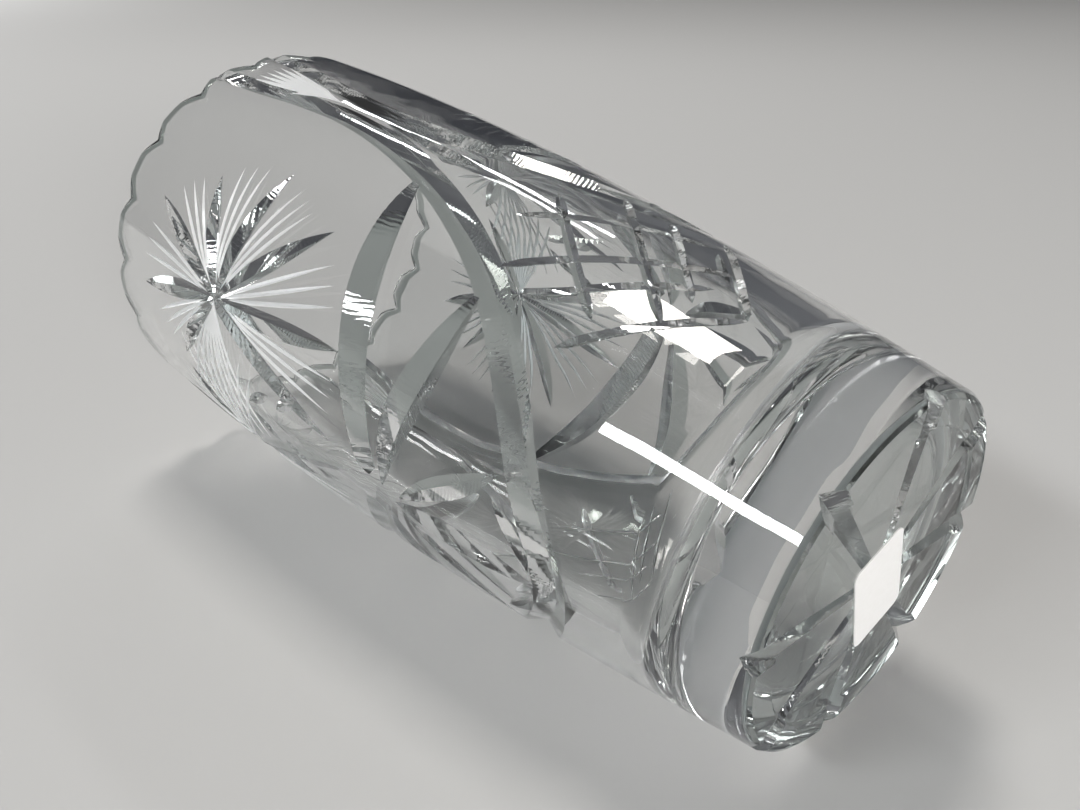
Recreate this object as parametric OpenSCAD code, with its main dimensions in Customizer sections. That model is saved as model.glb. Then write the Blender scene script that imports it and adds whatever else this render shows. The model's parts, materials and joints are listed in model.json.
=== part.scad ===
// Cut crystal vase: one heavy glass body, cut all over, with a blank paper label under the foot.
// Frame: millimetres, origin at the bottom centre of the foot, +Z up, front of a cut panel at -Y.

/* [Body] */
// overall height, foot to the tip of a scallop
body_h = 255; // [200:1:320]
// diameter of the foot
base_d = 90; // [70:1:120]
// how far the wall flares out from foot to rim, on the radius
flare = 22.4; // [8:0.1:35]
// height at which the wall stops flaring out
flare_z = 260; // [150:1:320]
// wall thickness above the solid base
wall_low = 8; // [5:0.1:12]
// wall thickness at the rim
wall_rim = 5.4; // [3:0.1:9]
// thickness of the solid glass base
floor_t = 23; // [12:0.5:40]
// radius of the rounded corner inside the floor
floor_r = 12; // [4:0.5:20]
// chamfer round the foot
foot_bevel = 1.6; // [0.4:0.1:4]

/* [Rim] */
// number of scallops round the rim
scallops = 20; // [12:1:30]
// height of a scallop above the notches either side
scallop_h = 6; // [1:0.1:9]
// height of the polished bevel outside the rim
rim_bevel_h = 3.6; // [2:0.1:12]
// width of that bevel at the top
rim_bevel_w = 1; // [0.5:0.1:3]

/* [Cut panels] */
// panels round the body
panels = 2; // [2:1:3]
// height of the lowest point of a panel arch
arch_low = 47; // [30:1:90]
// height at which the arch turns straight up
arch_top = 176; // [120:1:220]
// half angle a panel covers
arch_half = 86; // [50:1:88]
// depth of the arch mitre
arch_depth = 2.6; // [1:0.1:4]
// length of one straight cut along the arch
arch_cut = 24; // [12:1:40]
// cuts along half an arch
arch_steps = 7; // [4:1:12]
// how far the sides of an arch lean in from the waist to the rim, in degrees round the body
arch_lean = 5; // [0:0.5:10]
// height of the centre of the leaf fan
fan_z = 108; // [80:1:150]
// depth of a fan leaf at its middle
leaf_depth = 2.9; // [1:0.1:4]
// half width of a leaf for each millimetre of its depth
leaf_flat = 2; // [1:0.1:2.5]
// height of the centre of a pinwheel star
star_z = 184.5; // [150:0.5:210]
// angle from the panel centre to a pinwheel star
star_a = 25; // [15:1:35]
// long leaves in one pinwheel star
star_leaves = 8; // [6:1:9]
// turn from one star leaf to the next
star_step = 36; // [30:1:45]
// direction of the leaf nearest level, in degrees above level
star_first = 24; // [0:1:35]
// length of a star leaf that lies level
star_len = 42; // [15:1:50]
// how much longer the lowest leaves are, as a share
star_drop = 0.4; // [0:0.05:0.6]
// depth of a star leaf at its middle
star_depth = 2.0; // [0.8:0.1:3]

/* [Columns between panels] */
// depth of the crossing cuts in the net
net_depth = 1.2; // [0.6:0.1:2]
// height where the middle of the net is
net_z = 76; // [60:1:90]
// distance between crossing cuts
net_pitch = 15; // [10:1:22]
// direction of a crossing cut below level
net_dir = 52; // [35:1:65]
// length of the longest crossing cut
net_len = 60; // [30:1:75]
// depth of the leaf cuts in the waist of a column
waist_depth = 1.4; // [0.6:0.1:2.5]

/* [Base star] */
// rays cut into the underside
base_rays = 8; // [6:1:16]
// turn of the first ray from +X
base_ray_turn = 15; // [0:1:45]
// depth of a ray where it leaves the foot
base_ray_depth = 3.4; // [1:0.1:6]
// depth of a ray at the middle of the foot
base_ray_in = 1.9; // [1:0.1:4]
// radius of the polished hollow under the foot
hollow_r = 37; // [20:0.5:42]
// depth of that hollow
hollow_t = 0.7; // [0.4:0.1:2]

/* [Label] */
// long side of the label
label_l = 29; // [15:0.5:40]
// short side of the label
label_w = 18; // [10:0.5:30]
// thickness of the label
label_t = 0.3; // [0.2:0.05:0.6]
// corner radius of the label
label_r = 2.5; // [0.5:0.1:5]
// label centre, from the middle of the foot, along X
label_x = -5; // [-15:0.5:15]
// label centre, from the middle of the foot, along Y
label_y = 2; // [-15:0.5:15]
// turn of the label
label_turn = -10; // [-45:1:45]

/* [Hidden] */
base_r = base_d / 2;
bands = 12;
arch_reach = arch_half * 0.95;
panel_turn = 360 / panels;
scallop_turn = 360 / scallops;

// outside radius of the wall at a height
function body_r(z) = base_r + flare * (1 - pow(1 - z / flare_z, 2));
// lean of the wall from upright at a height, in degrees
function lean(z) = atan(2 * flare * (1 - z / flare_z) / flare_z);
// wall thickness at a height
function wall(z) = wall_low + (wall_rim - wall_low) * z / body_h;
function cav_r(z) = body_r(z) - wall(z);
// height of the panel arch at an angle from the panel centre
function arch_z(a) =
    arch_top - (arch_top - arch_low) * sqrt(max(0, 1 - pow(sin(a) / sin(arch_half), 2)));
// direction of the arch at that angle, in degrees above level
function arch_dir(a) = atan2(arch_z(a + 1) - arch_z(a - 1), body_r(arch_z(a)) * 2 * PI / 180);

// outside of the blank
module blank() {
    bevel_z = body_h - rim_bevel_h;
    rotate_extrude($fn = 120)
        polygon(concat(
            [[0, 0], [base_r - foot_bevel, 0], [body_r(foot_bevel), foot_bevel]],
            [for (i = [1 : bands - 1]) [body_r(bevel_z * i / bands), bevel_z * i / bands]],
            [[body_r(bevel_z), bevel_z], [body_r(body_h) - rim_bevel_w, body_h], [0, body_h]]));
}

// the space for water and stems
module cavity() {
    floor_cr = cav_r(floor_t + floor_r) - floor_r;
    rotate_extrude($fn = 120) {
        polygon(concat(
            [[0, floor_t + floor_r], [cav_r(floor_t + floor_r), floor_t + floor_r]],
            [for (i = [1 : bands])
                let (z = floor_t + floor_r + (body_h + 1 - floor_t - floor_r) * i / bands)
                [cav_r(z), z]],
            [[0, body_h + 1]]));
        translate([0, floor_t])
            square([floor_cr, floor_r + 1]);
        intersection() {
            translate([floor_cr, floor_t + floor_r])
                circle(r = floor_r, $fn = 64);
            translate([0, floor_t])
                square([body_r(body_h), floor_r]);
        }
    }
}

// one notch between two scallops, cut from the middle outwards
module notch() {
    half_w = body_r(body_h) * sin(scallop_turn / 2);
    side = [[0.19, 0.37], [0.36, 0.66], [0.50, 0.87], [0.64, 0.98], [0.7, 1.3]];
    translate([0, 0, body_h - scallop_h])
        rotate([90, 0, 0])
            linear_extrude(height = body_r(body_h) + 8)
                polygon(concat(
                    [[0, 0]],
                    [for (p = side) [p[0] * half_w, p[1] * scallop_h]],
                    [for (i = [len(side) - 1 : -1 : 0])
                        [-side[i][0] * half_w, side[i][1] * scallop_h]]));
}

module scallop_waste() {
    for (i = [0 : scallops - 1])
        rotate([0, 0, i * scallop_turn])
            translate([0, -cav_r(body_h) / 2, 0])
                notch();
}

// straight V cut: angle round the body, height, direction above level, length, depth,
// and half width for each millimetre of depth
module mitre(a, z, dir, len, depth, flat = 1.05) {
    rotate([0, 0, a])
        translate([0, -body_r(z), z])
            rotate([lean(z), 0, 0])
                rotate([0, -dir, 0])
                    rotate([90, 0, 90])
                        linear_extrude(height = len, center = true)
                            polygon([[depth, 0], [depth - 8, 8 * flat], [depth - 8, -8 * flat]]);
}

// half a leaf: deep where it starts, running out to nothing at its tip
module half_leaf(a, z, dir, len, depth) {
    rotate([0, 0, a])
        translate([0, -body_r(z), z])
            rotate([lean(z), 0, 0])
                rotate([0, -dir, 0])
                    translate([0, depth, 0])
                        rotate([0, 0, -atan(depth / len)])
                            rotate([90, 0, 90])
                                linear_extrude(height = len * 1.2)
                                    polygon([[0, 0], [-7, 7 * leaf_flat], [-7, -7 * leaf_flat]]);
}

// leaf with a point at each end
module leaf(a, z, dir, len, depth) {
    for (turn = [0, 180])
        half_leaf(a, z, dir + turn, len / 2, depth);
}

// long leaf that wraps round the body, as straight cuts that run into each other
module wrap_leaf(a, z, rise, step, depth) {
    share = [0.62, 1, 0.85, 0.5];
    for (i = [0 : len(share) - 1])
        mitre(a + i * step, z + i * abs(step) * rise, 0, 60, depth * share[i], leaf_flat);
}

// mitre that frames one panel
module arch() {
    for (side = [-1, 1]) {
        for (i = [0 : arch_steps])
            if (i > 0 || side > 0) {
                a = arch_reach * i / arch_steps;
                mitre(side * a, arch_z(a), side * arch_dir(a), arch_cut, arch_depth);
            }
        for (z = [arch_z(arch_reach) + 22 : 34 : body_h])
            mitre(side * (arch_half - arch_lean * max(0, z - arch_top) / (body_h - arch_top)), z,
                  90 + side * (z > arch_top ? arch_lean : 0), 42, arch_depth * 0.9);
    }
}

// leaves that spread from the foot of a panel
module fan() {
    for (side = [-1, 1]) {
        wrap_leaf(side * 15, fan_z + 6, 0.36, side * 18, leaf_depth);
        wrap_leaf(side * 11, fan_z - 5, -0.23, side * 15, leaf_depth);
        leaf(side * 13, fan_z - 26, side * -58, 44, leaf_depth * 0.8);
        leaf(side * 11, fan_z - 48, side * 30, 24, leaf_depth * 0.5);
    }
    leaf(0, fan_z - 31, 90, 48, leaf_depth);
}

// pinwheel stars either side of the middle of a panel
module stars() {
    for (side = [-1, 1], i = [0 : star_leaves - 1]) {
        dir = star_first + (i < star_leaves - 3 ? -i : star_leaves - i) * star_step;
        reach = star_len * (1 + star_drop * max(0, -sin(dir)));
        a = star_a + reach / 2 * cos(dir) / body_r(star_z) * 180 / PI;
        leaf(side * a, star_z + reach / 2 * sin(dir), side * dir, reach, star_depth);
    }
}

// leaf cuts in the waist between two panels, and the net of crossing cuts below it
module column() {
    leaf(0, arch_top - 33, 90, 50, waist_depth);
    for (side = [-1, 1]) {
        leaf(side * 5, arch_top - 28, side * -74, 48, waist_depth);
        for (i = [-2 : 2])
            mitre(side * i * net_pitch * 0.6, net_z + i * net_pitch * 0.6, side * -net_dir,
                  net_len - abs(i) * 12, net_depth, 1.5);
    }
}

// rays under the foot
module base_star() {
    for (i = [0 : base_rays - 1])
        rotate([0, 0, base_ray_turn + i * 360 / base_rays])
            translate([0, 0, base_ray_in])
                rotate([0, -atan((base_ray_depth - base_ray_in) / base_r), 0])
                    rotate([0, 90, 0])
                        translate([0, 0, -2])
                            linear_extrude(height = base_r + 12)
                                polygon([[0, 0], [10, 11], [10, -11]]);
}

module crystal_body() {
    color([0.86, 0.93, 0.95, 0.45])
        difference() {
            blank();
            cavity();
            scallop_waste();
            translate([0, 0, -1])
                cylinder(r = hollow_r, h = hollow_t + 1, $fn = 96);
            base_star();
            for (p = [0 : panels - 1])
                rotate([0, 0, p * panel_turn]) {
                    arch();
                    fan();
                    stars();
                    rotate([0, 0, panel_turn / 2])
                        column();
                }
        }
}

module price_label() {
    color([0.96, 0.96, 0.94])
        translate([label_x, label_y, hollow_t - label_t])
            rotate([0, 0, label_turn])
                linear_extrude(height = label_t)
                    union() {
                        square([label_l - 2 * label_r, label_w], center = true);
                        square([label_l, label_w - 2 * label_r], center = true);
                        for (x = [-1, 1], y = [-1, 1])
                            translate([x * (label_l / 2 - label_r), y * (label_w / 2 - label_r)])
                                circle(r = label_r, $fn = 32);
                    }
}

crystal_body();
price_label();
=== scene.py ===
import json
import math
import bpy
import numpy as np
from mathutils import Matrix, Vector

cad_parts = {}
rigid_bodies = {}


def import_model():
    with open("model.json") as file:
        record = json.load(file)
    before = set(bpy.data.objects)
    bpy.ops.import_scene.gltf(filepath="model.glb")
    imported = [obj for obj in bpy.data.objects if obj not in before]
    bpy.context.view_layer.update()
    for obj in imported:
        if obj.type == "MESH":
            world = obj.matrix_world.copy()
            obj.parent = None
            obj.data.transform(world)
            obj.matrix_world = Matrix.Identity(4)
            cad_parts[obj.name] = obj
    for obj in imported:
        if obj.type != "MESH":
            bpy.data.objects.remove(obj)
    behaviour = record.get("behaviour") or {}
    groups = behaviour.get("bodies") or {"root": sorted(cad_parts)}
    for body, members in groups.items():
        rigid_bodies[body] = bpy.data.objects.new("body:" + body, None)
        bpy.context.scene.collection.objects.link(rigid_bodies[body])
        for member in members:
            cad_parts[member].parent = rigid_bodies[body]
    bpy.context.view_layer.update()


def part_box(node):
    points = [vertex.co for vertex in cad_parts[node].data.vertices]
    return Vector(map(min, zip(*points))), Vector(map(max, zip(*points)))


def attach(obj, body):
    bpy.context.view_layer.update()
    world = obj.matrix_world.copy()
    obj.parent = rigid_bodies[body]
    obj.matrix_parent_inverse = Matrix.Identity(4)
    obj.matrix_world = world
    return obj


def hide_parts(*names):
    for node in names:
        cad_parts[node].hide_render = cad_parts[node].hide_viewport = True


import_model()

# ---------------------------------------------------------------- sizes (millimetres)
MM = 0.001
BODY_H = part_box("crystal_body")[1].z / MM
BASE_R = 45.0                                   # radius at the foot
FLARE, FLARE_Z = 22.4, 260.0                    # how far the wall flares out, and up to what height
WALL_LOW, WALL_RIM = 8.0, 5.4                   # wall thickness at the foot and at the rim
FLOOR_T, FLOOR_R = 23.0, 12.0                   # cavity floor: height, and radius of its corner
FOOT_BEVEL = 1.6
SCALLOPS, SCALLOP_H = 20, 6.0
TIP_SHARE, NOTCH_CURVE = 0.36, 1.25             # flat share of a scallop, and the bend of its shoulders
BEVEL_H, BEVEL_W = 3.6, 1.0                     # bevel outside the rim
LIP_RISE = 0.8                                  # height of the rounded lip for its half width
STEP_IN = 3.0                                   # drop from the lip to the first ring of the inner wall
HOLLOW_R, HOLLOW_T = 37.0, 0.72                 # hollow inside the foot ring
RAYS, RAY_TURN = 8, 15.0                        # ray cuts under the foot, and the first one's angle
RAY_DEPTH, RAY_IN = 3.4, 1.9                    # their depth at the edge and at the middle
RAY_START, RAY_STEP, RAY_SPOTS = 1.0, 4.25, 13
RAY_HALF = 1.15                                 # half width of a ray for one unit of depth

SEGS = 320                                      # corners round the blank
OUTER_ROWS, INNER_ROWS, LIP_ROWS, CORNER_ROWS = 40, 34, 12, 12
DEGREE = 1.05                                   # about one degree's length round the wall

WALL, CUT, LINE, FOOT = 0, 1, 2, 3      # kinds of face, in the order of the glass materials


def body_r(z):
    return BASE_R + FLARE * (1 - (1 - z / FLARE_Z) ** 2)


def slope(z):
    return 2 * FLARE * (1 - z / FLARE_Z) / FLARE_Z


def cav_r(z):
    return body_r(z) - (WALL_LOW + (WALL_RIM - WALL_LOW) * z / BODY_H)


def on_wall(a, z):
    """Point of the outer wall at an angle from the middle of a panel and a height."""
    t = math.radians(a)
    r = body_r(z)
    return np.array([r * math.sin(t), -r * math.cos(t), z])


def unit(v):
    return v / max(1e-12, np.linalg.norm(v))


def wall_normal(a, z):
    t = math.radians(a)
    return unit(np.array([math.sin(t), -math.cos(t), -slope(z)]))


# ---------------------------------------------------------------- the blank, with its scalloped rim
def scallop(a):
    """0 on the tip of a scallop, 1 at the bottom of a notch."""
    u = abs((a * SCALLOPS / 360.0) % 1.0 - 0.5) * 2
    return max(0.0, (u - TIP_SHARE) / (1 - TIP_SHARE)) ** NOTCH_CURVE


def profile():
    """Rows of the blank from under the foot, up the outside, over the rim and down the inside.
    Each row is (kind, place, normal). place gives radius and height for a scallop share. normal is the
    outward direction as (radius, height), "auto" to take it from the mesh, or None for a flat face."""
    rows = []

    def put(kind, r, z, n=None):
        rows.append((kind, lambda s: (r, z), n))

    put(FOOT, 12, HOLLOW_T, (0, -1))
    put(FOOT, 24, HOLLOW_T, (0, -1))
    put(FOOT, HOLLOW_R - 0.5, HOLLOW_T, (0, -1))
    put(FOOT, HOLLOW_R, HOLLOW_T * 0.35)
    put(FOOT, HOLLOW_R + 0.4, 0)
    put(FOOT, BASE_R - FOOT_BEVEL, 0)
    put(FOOT, BASE_R - FOOT_BEVEL * 0.35, FOOT_BEVEL * 0.3)
    top = BODY_H - BEVEL_H
    z0 = FOOT_BEVEL
    for i in range(OUTER_ROWS + 1):
        share = i / OUTER_ROWS

        def place(s, share=share):      # the notches reach down into the last sixth of the wall
            z = z0 + (top - SCALLOP_H * s * 0.8 * max(0.0, share * 6 - 5) - z0) * share
            return body_r(z), z

        rows.append((WALL, place, (1.0, -slope(z0 + (top - z0) * share))))

    def at_top(inset, drop):
        return lambda s: (body_r(BODY_H) - inset, BODY_H - SCALLOP_H * s - drop)

    # the polished lip: a bevel outside and a rounded top
    lip = (WALL_RIM - BEVEL_W) / 2
    for i in range(LIP_ROWS + 1):
        t = math.radians(172 - 164 * i / LIP_ROWS)
        inset, drop = BEVEL_W + lip + lip * math.cos(t), lip * LIP_RISE * (1 - math.sin(t))
        rows.append((CUT, at_top(inset, drop), "auto"))
    inner = BODY_H - STEP_IN
    rows.append((WALL, lambda s: (cav_r(inner), inner - SCALLOP_H * s), None))
    low = FLOOR_T + FLOOR_R
    for i in range(1, INNER_ROWS + 1):
        share = i / INNER_ROWS

        def place_in(s, share=share):
            start = inner - SCALLOP_H * s * max(0.0, 1 - share * 6)
            z = start + (low - start) * share
            return cav_r(z), z

        lean = slope(inner + (low - inner) * share) - (WALL_RIM - WALL_LOW) / BODY_H
        rows.append((WALL, place_in, (-1.0, lean)))
    corner = cav_r(low) - FLOOR_R
    for i in range(1, CORNER_ROWS + 1):
        t = math.radians(90 * i / CORNER_ROWS)
        r, z = corner + FLOOR_R * math.cos(t), low - FLOOR_R * math.sin(t)
        put(WALL, r, z, (-math.cos(t), math.sin(t)))
    for r in (corner * 0.75, corner * 0.5, corner * 0.25):
        put(WALL, r, FLOOR_T, (0, 1))
    return rows


def blank():
    """The uncut vase as one closed mesh."""
    rows = profile()
    verts, vnorm = [], []
    for _, place, n in rows:
        for j in range(SEGS):
            a = 360.0 * j / SEGS
            t = math.radians(a)
            r, z = place(scallop(a))
            verts.append((r * math.sin(t), -r * math.cos(t), z))
            if n is None or n == "auto":
                vnorm.append((0, 0, 0))
            else:
                vnorm.append(tuple(unit(np.array([n[0] * math.sin(t), -n[0] * math.cos(t), n[1]]))))
    grid = np.array(verts).reshape(len(rows), SEGS, 3)
    for i, row in enumerate(rows):
        if row[2] == "auto":
            below = i - 1 if rows[i - 1][2] == "auto" else i
            for j in range(SEGS):
                round_it = grid[i][(j + 1) % SEGS] - grid[i][j - 1]
                vnorm[i * SEGS + j] = tuple(unit(np.cross(round_it, grid[i + 1][j] - grid[below][j])))
    under, floor = len(verts), len(verts) + 1
    verts += [(0, 0, HOLLOW_T), (0, 0, FLOOR_T)]
    vnorm += [(0, 0, -1), (0, 0, 1)]
    faces, kinds = [], []
    for j in range(SEGS):
        k = (j + 1) % SEGS
        faces.append((under, k, j))
        kinds.append(FOOT)
    for i in range(len(rows) - 1):
        kind = max(rows[i][0], rows[i + 1][0])
        for j in range(SEGS):
            k = (j + 1) % SEGS
            faces.append((i * SEGS + j, i * SEGS + k, (i + 1) * SEGS + k, (i + 1) * SEGS + j))
            kinds.append(kind)
    last = (len(rows) - 1) * SEGS
    for j in range(SEGS):
        k = (j + 1) % SEGS
        faces.append((last + j, last + k, floor))
        kinds.append(WALL)
    return build("crystal_vase", verts, faces, kinds, np.array(vnorm)[[v for f in faces for v in f]])


def build(name, verts, faces, kinds, normals, uv=None):
    """A mesh object that carries its smooth normals and kinds of face through the boolean."""
    me = bpy.data.meshes.new(name)
    me.from_pydata([tuple(c * MM for c in v) for v in verts], [], faces)
    me.update()
    at = me.attributes.new("cut_normal", "FLOAT_VECTOR", "CORNER")
    at.data.foreach_set("vector", np.asarray(normals, np.float32).ravel())
    at = me.attributes.new("cut_kind", "INT", "FACE")
    at.data.foreach_set("value", np.asarray(kinds, np.int32))
    layer = me.uv_layers.new(name="UVMap")
    if uv is None:
        co = np.array(verts)[[v for f in faces for v in f]]
        uv = np.stack([np.arctan2(co[:, 0], -co[:, 1]) * 5, co[:, 2] * 0.1], 1)
    layer.data.foreach_set("uv", np.asarray(uv, np.float32).ravel())
    return bpy.data.objects.new(name, me)


# ---------------------------------------------------------------- wheel cuts
cutters = bpy.data.collections.new("cutters")


def smooth_path(points, n):
    """n + 1 points evenly along a smooth curve through points of (angle, height)."""
    p = [np.array(q, float) for q in points]
    if len(p) == 2:
        return [p[0] + (p[1] - p[0]) * i / n for i in range(n + 1)]
    ext = [2 * p[0] - p[1]] + p + [2 * p[-1] - p[-2]]
    dense = []
    for i in range(1, len(ext) - 2):
        a, b, c, d = ext[i - 1:i + 3]
        for k in range(24):
            t = k / 24
            dense.append(0.5 * (2 * b + (c - a) * t + (2 * a - 5 * b + 4 * c - d) * t * t
                                + (3 * b - a - 3 * c + d) * t ** 3))
    dense.append(p[-1])
    dense = np.array(dense)
    step = np.diff(dense, axis=0)
    step[:, 0] *= DEGREE
    run = np.concatenate([[0], np.cumsum(np.hypot(step[:, 0], step[:, 1]))])
    want = np.linspace(0, run[-1], n + 1)
    return [np.array([np.interp(w, run, dense[:, 0]), np.interp(w, run, dense[:, 1])]) for w in want]


def sweep(spots, normals, half, flat, kind, rise=1.2, lift=0.02):
    """A V shaped cutter. half: half widths at the surface; flat: half width for one unit of depth,
    or a pair of them, left and right of the way the wheel goes."""
    left, other = flat if isinstance(flat, tuple) else (flat, flat)
    flat = (left + other) / 2
    spots, normals = np.array(spots), np.array(normals)
    n = len(spots)
    along = np.gradient(spots, axis=0)
    rows = []
    for p, m, t, w in zip(spots, normals, along, half):
        t = unit(t - m * np.dot(t, m))
        b = np.cross(m, t)
        d = w / flat - lift
        p = p - b * (left - other) / 2 * d
        top = p + m * rise
        rows.append((p - m * d, top + b * (rise + d) * left, top - b * (rise + d) * other))
    rows = np.array(rows)
    verts = rows.reshape(-1, 3)
    tang = np.gradient(rows, axis=0)
    nl = np.array([[unit(np.cross(tang[i][q], rows[i][1] - rows[i][0])) for q in (0, 1)] for i in range(n)])
    nr = np.array([[unit(np.cross(rows[i][2] - rows[i][0], tang[i][q])) for q in (0, 2)] for i in range(n)])
    faces, nrm, uv = [], [], []
    run = np.concatenate([[0], np.cumsum(np.linalg.norm(np.diff(spots, axis=0), axis=1))])
    width = np.linalg.norm(rows[:, 1] - rows[:, 0], axis=1)
    flat_face = (0, 0, 0)
    for i in range(n - 1):
        a, b = 3 * i, 3 * i + 3
        faces.append((a + 1, b + 1, b, a))
        nrm += [nl[i][1], nl[i + 1][1], nl[i + 1][0], nl[i][0]]
        uv += [(run[i], width[i]), (run[i + 1], width[i + 1]), (run[i + 1], 0), (run[i], 0)]
        faces.append((a, b, b + 2, a + 2))
        nrm += [nr[i][0], nr[i + 1][0], nr[i + 1][1], nr[i][1]]
        uv += [(run[i], 0), (run[i + 1], 0), (run[i + 1], width[i + 1]), (run[i], width[i])]
        faces.append((a + 2, b + 2, b + 1, a + 1))
        nrm += [flat_face] * 4
        uv += [(0, 0)] * 4
    faces.append((0, 2, 1))
    e = 3 * (n - 1)
    faces.append((e, e + 1, e + 2))
    nrm += [flat_face] * 6
    uv += [(0, 0)] * 6
    ob = build("cutter", verts, faces, [kind] * len(faces), nrm, np.array(uv) * 0.1)
    cutters.objects.link(ob)


def lens(n, w, peak=0.5):
    """Half widths of a leaf with a point at each end."""
    out = []
    for i in range(n + 1):
        t = i / n
        u = t / peak if t < peak else (1 - t) / (1 - peak)
        out.append(w * (1 - (1 - u) ** 2))
    return out


def blade(n, w, root=0.7, peak=0.55):
    """Half widths of a broad leaf that stays broad at its root."""
    out = []
    for i in range(n + 1):
        t = i / n
        if t < peak:
            out.append(w * (root + (1 - root) * math.sin(math.pi / 2 * t / peak)))
        else:
            out.append(w * (1 - ((t - peak) / (1 - peak)) ** 2))
    out[0] = 0.0
    return out


def groove(n, w, ends=0.12):
    """Half widths of a long cut of even width with short ends."""
    return [w * min(1.0, min(i / n, 1 - i / n) / ends) ** 0.6 for i in range(n + 1)]


def cut(points, half, flat, kind, step=2.5):
    """Cut along points of (angle, height); half is a profile maker."""
    p = [np.array(q, float) for q in points]
    size = sum(math.hypot((b - a)[0] * DEGREE, (b - a)[1]) for a, b in zip(p, p[1:]))
    n = max(6, int(size / step))
    path = smooth_path(points, n)
    sweep([on_wall(*q) for q in path], [wall_normal(*q) for q in path], half(n), flat, kind)


def copies(points):
    """The same cut on both halves of a panel and on both panels."""
    for turn in (0, 180):
        for side in (1, -1):
            yield [(turn + side * a, z) for a, z in points]


def cuts(points, half, flat, kind, mirror=True, step=2.5):
    for i, q in enumerate(copies(points)):
        if mirror or i % 2 == 0:
            cut(q, half, flat, kind, step)


def spoke(a, z, direction, reach, bend=0.0):
    """Points of a cut that leaves a hub in a direction, in degrees above level, and bends as it goes."""
    out = []
    for t in (0.0, 0.34, 0.67, 1.0):
        d = math.radians(direction + bend * t)
        zz = z + reach * t * math.sin(d)
        out.append((a + math.degrees(reach * t * math.cos(d) / body_r(z)), zz))
    return out


# the arch mitre that frames a panel, from its lowest point to the rim
ARCH = [(0, 49.5), (12, 52), (26, 59), (40, 67.5), (53, 79), (64, 93), (72, 109), (78.5, 128),
        (82.5, 146), (85, 165), (85.8, 184), (84.4, 206), (82.5, 226), (80.3, 262)]
ARCH_LOW, ARCH_HIGH = 4.8, 3.1          # its half width at its lowest point and at the rim


def arch_half(n):
    return [ARCH_LOW - (ARCH_LOW - ARCH_HIGH) * abs(2 * i / n - 1) ** 1.6 for i in range(n + 1)]


for turn in (0, 180):
    mirrored = [(-a, z) for a, z in reversed(ARCH[1:])]
    cut([(turn + a, z) for a, z in mirrored + ARCH], arch_half, 1.75, CUT, 2.2)

# leaves that fan out from low in the panel
for turn in (0, 180):
    for side in (1, -1):
        q = [(turn + side * a, z) for a, z in [(4, 110), (22, 116), (44, 124), (64, 131), (82, 137)]]
        cut(q, lambda n: blade(n, 5.6), (3.3, 0.6) if side > 0 else (0.6, 3.3), CUT)
cuts([(3, 105), (20, 101), (42, 95), (63, 92)], lambda n: lens(n, 5.6, 0.45), 2.0, CUT)
cuts([(2, 99), (10, 88), (18, 76), (26, 66)], lambda n: lens(n, 3.4, 0.5), 1.7, CUT)
cuts([(2, 55), (10, 58), (19, 67)], lambda n: lens(n, 2.3, 0.5), 1.6, CUT)
cuts([(0, 101), (0, 53)], lambda n: lens(n, 4.6, 0.45), 1.8, CUT, mirror=False)

# pinwheel stars: leaves with groups of three fine lines between them
STAR_A, STAR_Z = 25.0, 184.5            # hub: angle from the middle of the panel, and height
STAR_BEND = 3.0
# each leaf's direction in degrees above level, and its reach
LEAVES = [(25, 38), (-16, 45), (-51, 53), (-86, 60), (-113, 62), (62, 46), (99, 46), (137, 34)]
for direction, reach in LEAVES:
    cuts(spoke(STAR_A, STAR_Z, direction, reach, STAR_BEND), lambda n: blade(n, 3.3, 0.55, 0.5), 1.9, CUT)
# for each gap the directions of its two leaves, and the reach of the lines next to each
GAPS = [(25, -16, 39, 44), (-16, -51, 45, 47), (-51, -86, 52, 58), (-86, -113, 60, 60), (62, 25, 44, 38),
        (99, 62, 46, 45), (137, 99, 34, 42)]
for first, second, reach_a, reach_b in GAPS:
    for i in (1, 2, 3):
        t = 0.14 + 0.18 * i
        direction, reach = first + (second - first) * t, reach_a + (reach_b - reach_a) * t
        cuts(spoke(STAR_A, STAR_Z, direction, reach, STAR_BEND),
             lambda n: blade(n, 0.72, 0.7, 0.6), 1.2, LINE, step=4)

# fine lines from each star that cross between the two
FAN, FAN_STEP = 8, 8.0
for i in range(FAN):
    swing = FAN_STEP * (i - (FAN - 1) / 2)
    cuts(spoke(STAR_A, STAR_Z, 179 + swing, 40 + 6 * math.cos(math.radians(swing))),
         lambda n: groove(n, 0.72, 0.2), 1.2, LINE, step=4)
# small lens cuts between the stars
cuts([(5, 152), (13, 140)], lambda n: lens(n, 2.4), 1.6, CUT)
cuts([(1.5, 168), (8, 155)], lambda n: lens(n, 2.0), 1.6, CUT)

# the narrow column between two panels: fine lines that spread up to the rim
for turn in (90, 270):
    for side in (1, -1):
        for i in range(4):
            end = 1.1 + 2.3 * i
            line = [(0.3 * i, 190 + 3 * i), (end * 0.5, 212), (end, 236)]
            cut([(turn + side * a, z) for a, z in line], lambda n: lens(n, 1.0, 0.6), 1.3, LINE, 4)
        cut([(turn + side * 1.2, 172), (turn + side * 4, 150), (turn + side * 10.5, 124)],
            lambda n: lens(n, 2.0, 0.55), 1.6, CUT)
    cut([(turn, 168), (turn, 118)], lambda n: lens(n, 2.6, 0.6), 1.7, CUT)

# the net below it
NET = [((-7, 103.5), (22, 64)), ((-22, 94.5), (14, 50.5)), ((-32, 67.5), (0, 38)), ((-23, 79), (4, 50))]
for turn in (90, 270):
    for line in NET:
        for side in (1, -1):
            cut([(turn + side * a, z) for a, z in line], lambda n: groove(n, 1.35, 0.1), 1.3, CUT, 3)

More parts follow.
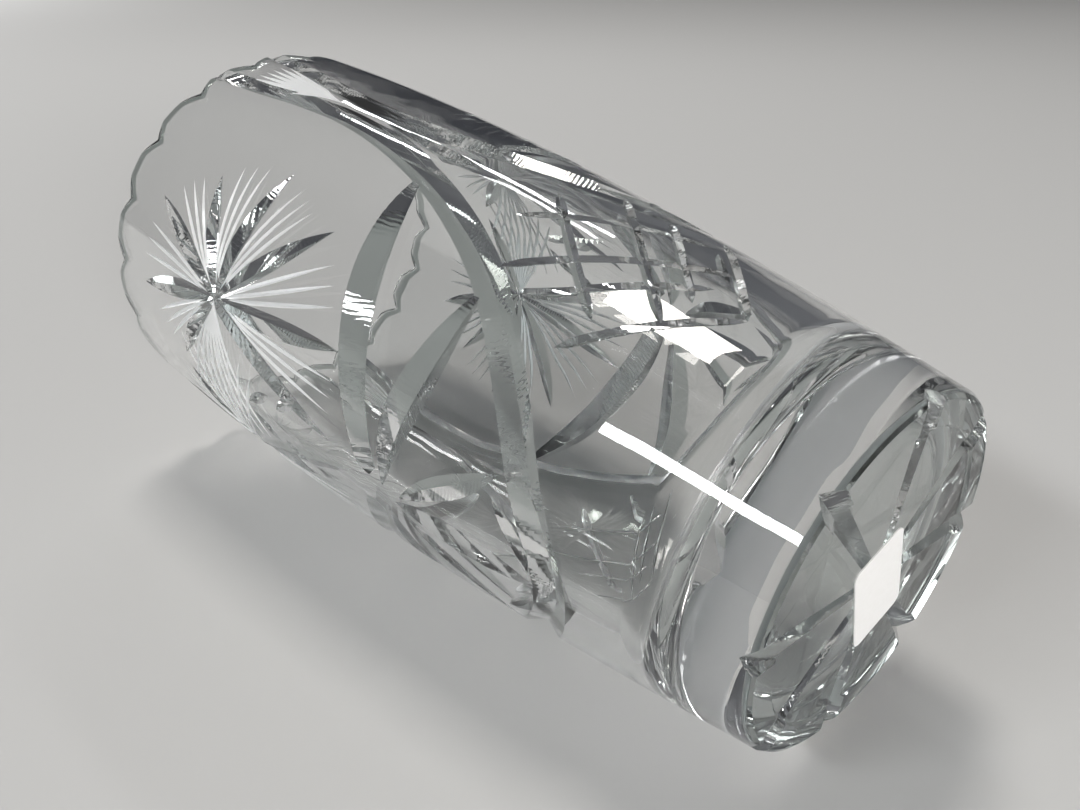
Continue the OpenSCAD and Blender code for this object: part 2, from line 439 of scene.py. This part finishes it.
# rays under the foot
for i in range(RAYS):
    t = math.radians(RAY_TURN + i * 360 / RAYS)
    out = np.array([math.cos(t), math.sin(t), 0])
    spots = [out * (RAY_START + RAY_STEP * k) for k in range(RAY_SPOTS)]
    half = [(RAY_IN + (RAY_DEPTH - RAY_IN) * np.linalg.norm(p) / BASE_R) * RAY_HALF for p in spots]
    sweep(spots, [np.array([0, 0, -1.0])] * RAY_SPOTS, half, RAY_HALF, CUT, rise=3.0)

# ---------------------------------------------------------------- cut the glass
vase = blank()
bpy.context.scene.collection.objects.link(vase)
bpy.context.scene.collection.children.link(cutters)
mod = vase.modifiers.new("cut", "BOOLEAN")
mod.operation, mod.solver = "DIFFERENCE", "MANIFOLD"
mod.operand_type, mod.collection = "COLLECTION", cutters
evaluated = vase.evaluated_get(bpy.context.evaluated_depsgraph_get())
cut_mesh = bpy.data.meshes.new_from_object(evaluated)
vase.modifiers.clear()
vase.data = cut_mesh
for ob in list(cutters.objects):
    bpy.data.objects.remove(ob)
bpy.data.collections.remove(cutters)

# smooth normals where a face keeps the surface it was made from, flat ones elsewhere
me = vase.data
kinds = np.zeros(len(me.polygons), np.int32)
me.attributes["cut_kind"].data.foreach_get("value", kinds)
nrm = np.zeros(len(me.loops) * 3, np.float32)
me.attributes["cut_normal"].data.foreach_get("vector", nrm)
nrm = nrm.reshape(-1, 3)
face_n = np.zeros(len(me.polygons) * 3, np.float32)
me.polygons.foreach_get("normal", face_n)
face_n = face_n.reshape(-1, 3)
total = np.zeros(len(me.polygons), np.int32)
me.polygons.foreach_get("loop_total", total)
owner = np.repeat(np.arange(len(total)), total)
length = np.linalg.norm(nrm, axis=1)
agree = np.einsum("ij,ij->i", nrm, face_n[owner])
SHORT, AGREE = 0.5, 0.7     # below this length, or this cosine to its face, a stored normal is dropped
flat = (length < SHORT) | (agree < AGREE * length)
nrm[flat] = face_n[owner][flat]
nrm /= np.linalg.norm(nrm, axis=1)[:, None]
me.shade_smooth()
me.normals_split_custom_set([tuple(v) for v in nrm])


# ---------------------------------------------------------------- materials
def material(name):
    m = bpy.data.materials.new(name)
    m.use_nodes = True
    return m, m.node_tree.nodes, m.node_tree.links, m.node_tree.nodes["Principled BSDF"]


def glass(name, rough, spread, bump_size, bump, ripple=0.0):
    """Clear crystal with smudges, a slow wave in its surface and, on cut faces, the wheel's ripple."""
    m, nodes, links, shader = material(name)
    shader.inputs["Base Color"].default_value = (0.985, 0.992, 0.99, 1)
    shader.inputs["Transmission Weight"].default_value = 1.0
    shader.inputs["IOR"].default_value = 1.55
    where = nodes.new("ShaderNodeTexCoord")
    smudge = nodes.new("ShaderNodeTexNoise")
    smudge.inputs["Scale"].default_value = 45
    smudge.inputs["Detail"].default_value = 5
    links.new(where.outputs["Object"], smudge.inputs["Vector"])
    span = nodes.new("ShaderNodeMapRange")
    span.inputs["From Min"].default_value = 0.42
    span.inputs["From Max"].default_value = 0.72
    span.inputs["To Min"].default_value = rough
    span.inputs["To Max"].default_value = rough + spread
    links.new(smudge.outputs["Fac"], span.inputs["Value"])
    links.new(span.outputs["Result"], shader.inputs["Roughness"])
    wave = nodes.new("ShaderNodeTexNoise")
    wave.inputs["Scale"].default_value = bump_size
    wave.inputs["Detail"].default_value = 2
    links.new(where.outputs["Object"], wave.inputs["Vector"])
    relief = nodes.new("ShaderNodeBump")
    relief.inputs["Strength"].default_value = 1.0
    relief.inputs["Distance"].default_value = bump
    links.new(wave.outputs["Fac"], relief.inputs["Height"])
    if ripple:
        chatter = nodes.new("ShaderNodeTexWave")
        chatter.inputs["Scale"].default_value = 2.2
        chatter.inputs["Distortion"].default_value = 4.0
        chatter.inputs["Detail"].default_value = 2.0
        links.new(where.outputs["UV"], chatter.inputs["Vector"])
        second = nodes.new("ShaderNodeBump")
        second.inputs["Strength"].default_value = 1.0
        second.inputs["Distance"].default_value = ripple
        links.new(chatter.outputs["Fac"], second.inputs["Height"])
        links.new(relief.outputs["Normal"], second.inputs["Normal"])
        relief = second
    links.new(relief.outputs["Normal"], shader.inputs["Normal"])
    # kept faint: a ray that enters by one of the four materials and leaves by another stays inside
    body = nodes.new("ShaderNodeVolumeAbsorption")
    body.inputs["Color"].default_value = (0.50, 0.56, 0.545, 1)
    body.inputs["Density"].default_value = 0.3
    links.new(body.outputs["Volume"], nodes["Material Output"].inputs["Volume"])
    return m


def frost(m, share):
    """Leave a share of the surface ground and white."""
    m.node_tree.nodes["Principled BSDF"].inputs["Transmission Weight"].default_value = 1 - share
    return m


polished = glass("crystal_polished", 0.0, 0.012, 22, 0.0004)
facet = frost(glass("crystal_cut", 0.012, 0.03, 60, 0.0001, 0.000012), 0.03)
frosted = frost(glass("crystal_fine_line", 0.36, 0.12, 400, 0.00004), 0.55)
worn = glass("crystal_foot", 0.01, 0.05, 120, 0.00006)
me.materials.clear()
for m in (polished, facet, frosted, worn):
    me.materials.append(m)
me.polygons.foreach_set("material_index", kinds)
for name in ("cut_kind", "cut_normal"):
    me.attributes.remove(me.attributes[name])

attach(vase, "root")
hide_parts("crystal_body")

paper, nodes, links, shader = material("label_paper")
where = nodes.new("ShaderNodeTexCoord")
fibre = nodes.new("ShaderNodeTexNoise")
fibre.inputs["Scale"].default_value = 900
fibre.inputs["Detail"].default_value = 6
links.new(where.outputs["Object"], fibre.inputs["Vector"])
tone = nodes.new("ShaderNodeValToRGB")
tone.color_ramp.elements[0].color = (0.88, 0.88, 0.86, 1)
tone.color_ramp.elements[1].color = (0.96, 0.96, 0.95, 1)
links.new(fibre.outputs["Fac"], tone.inputs["Fac"])
links.new(tone.outputs["Color"], shader.inputs["Base Color"])
grain = nodes.new("ShaderNodeBump")
grain.inputs["Distance"].default_value = 0.00003
links.new(fibre.outputs["Fac"], grain.inputs["Height"])
links.new(grain.outputs["Normal"], shader.inputs["Normal"])
shader.inputs["Roughness"].default_value = 0.55
for ob in bpy.context.scene.objects:
    if ob.type == "MESH" and "price_label" in ob.name:
        ob.data.materials.clear()
        ob.data.materials.append(paper)


# ---------------------------------------------------------------- floor, light and camera
def stage_plane(name, centre, normal, size, hole=0.0):
    """A round pale sheet. It is clear from behind, and neither casts a shadow nor lights the other
    sheet, so that it spoils no view."""
    n = Vector(normal).normalized()
    side = n.orthogonal().normalized()
    other = n.cross(side)
    ring = 96
    verts, faces = [], []
    for r in (hole, size):
        for i in range(ring):
            t = 2 * math.pi * i / ring
            verts.append(Vector(centre) + side * r * math.cos(t) + other * r * math.sin(t))
    for i in range(ring):
        k = (i + 1) % ring
        faces.append((i, ring + i, ring + k, k))
    data = bpy.data.meshes.new(name)
    data.from_pydata([tuple(v) for v in verts], [], faces)
    ob = bpy.data.objects.new(name, data)
    bpy.context.scene.collection.objects.link(ob)
    m, nodes, links, shader = material(name + "_paper")
    shader.inputs["Base Color"].default_value = (0.50, 0.50, 0.493, 1)
    shader.inputs["Roughness"].default_value = 0.9
    geo = nodes.new("ShaderNodeNewGeometry")
    clear = nodes.new("ShaderNodeBsdfTransparent")
    mix = nodes.new("ShaderNodeMixShader")
    links.new(geo.outputs["Backfacing"], mix.inputs["Fac"])
    links.new(shader.outputs["BSDF"], mix.inputs[1])
    links.new(clear.outputs["BSDF"], mix.inputs[2])
    links.new(mix.outputs["Shader"], nodes["Material Output"].inputs["Surface"])
    data.materials.append(m)
    ob.visible_shadow = ob.visible_diffuse = False


SHEET_R, FOOT_HOLE = 30.0, 0.043
stage_plane("floor", (0, 0, -0.0003), (0, 0, 1), SHEET_R, FOOT_HOLE)
# in the photograph the vase lies on its side, so a second sheet touches it there
LIE_N = Vector((0.976, 0.200, 0.085)).normalized()
stage_plane("table", LIE_N * -0.0515, LIE_N, SHEET_R)

# a dim studio, lightest just above the horizon
world = bpy.context.scene.world or bpy.data.worlds.new("studio")
bpy.context.scene.world = world
world.use_nodes = True
nodes, links = world.node_tree.nodes, world.node_tree.links
where = nodes.new("ShaderNodeTexCoord")
parts = nodes.new("ShaderNodeSeparateXYZ")
links.new(where.outputs["Generated"], parts.inputs["Vector"])
sky = nodes.new("ShaderNodeValToRGB")
sky.color_ramp.elements[0].position = 0.0
sky.color_ramp.elements[0].color = (0.05, 0.05, 0.055, 1)
sky.color_ramp.elements[1].position = 0.75
sky.color_ramp.elements[1].color = (0.03, 0.032, 0.038, 1)
level = sky.color_ramp.elements.new(0.12)
level.color = (0.16, 0.165, 0.175, 1)
links.new(parts.outputs["Z"], sky.inputs["Fac"])
links.new(sky.outputs["Color"], nodes["Background"].inputs["Color"])
nodes["Background"].inputs["Strength"].default_value = 1.0


def softbox(name, place, aim, width, height, power, colour=(1, 1, 1)):
    """A rectangular light, in metres and watts."""
    data = bpy.data.lights.new(name, "AREA")
    data.shape = "RECTANGLE"
    data.size, data.size_y, data.energy, data.color = width, height, power, colour
    ob = bpy.data.objects.new(name, data)
    ob.location = place
    ob.rotation_mode = "QUATERNION"
    ob.rotation_quaternion = (Vector(aim) - Vector(place)).to_track_quat("-Z", "Y")
    ob.visible_camera = False
    bpy.context.scene.collection.objects.link(ob)
    return ob


# the window is far away, so it lights the floor evenly; rays through the glass do not meet it
window = softbox("window", (7.0, -6.6, 1.25), (0.05, 0, 0.1), 0.96, 4.0, 448, (0.97, 0.985, 1.0))
window.visible_transmission = False
softbox("overhead", (0.4, -0.4, 4.6), (0, 0, 0.1), 1.4, 1.4, 80)
softbox("side", (4.6, 1.6, 1.9), (0, 0, 0.1), 1.5, 0.9, 110, (1.0, 0.96, 0.91))
softbox("back", (-2.7, 3.3, 2.4), (0, 0, 0.12), 1.2, 0.75, 60, (0.90, 0.95, 1.0))
softbox("strip", (0.9, 1.0, 1.3), (0, 0, 0.12), 0.05, 0.8, 3)
softbox("low_front", (0.40, -0.35, -0.95), (0, 0, 0.0), 0.3, 0.25, 13, (1.0, 0.98, 0.96))
softbox("left", (-1.8, -3.6, 1.8), (0, 0, 0.12), 0.6, 1.5, 40, (0.93, 0.97, 1.0))

bpy.context.scene.view_settings.view_transform = "Standard"

# the camera looks up at the foot from close by, as in the photograph
camera = bpy.data.cameras.new("camera")
camera.lens, camera.sensor_width = 31.22, 36
camera.clip_start, camera.clip_end = 0.01, 50
eye = bpy.data.objects.new("camera", camera)
right, ahead = Vector((-0.093286, 0.739866, -0.666255)), Vector((-0.612253, 0.485067, 0.624385))
turn = Matrix((right, right.cross(ahead), -ahead)).transposed()
eye.matrix_world = Matrix.Translation((0.162160, -0.136068, -0.063046)) @ turn.to_4x4()
bpy.context.scene.collection.objects.link(eye)
bpy.context.scene.camera = eye

cycles = bpy.context.scene.cycles
cycles.max_bounces, cycles.transmission_bounces, cycles.glossy_bounces = 20, 20, 12
cycles.transparent_max_bounces = 16
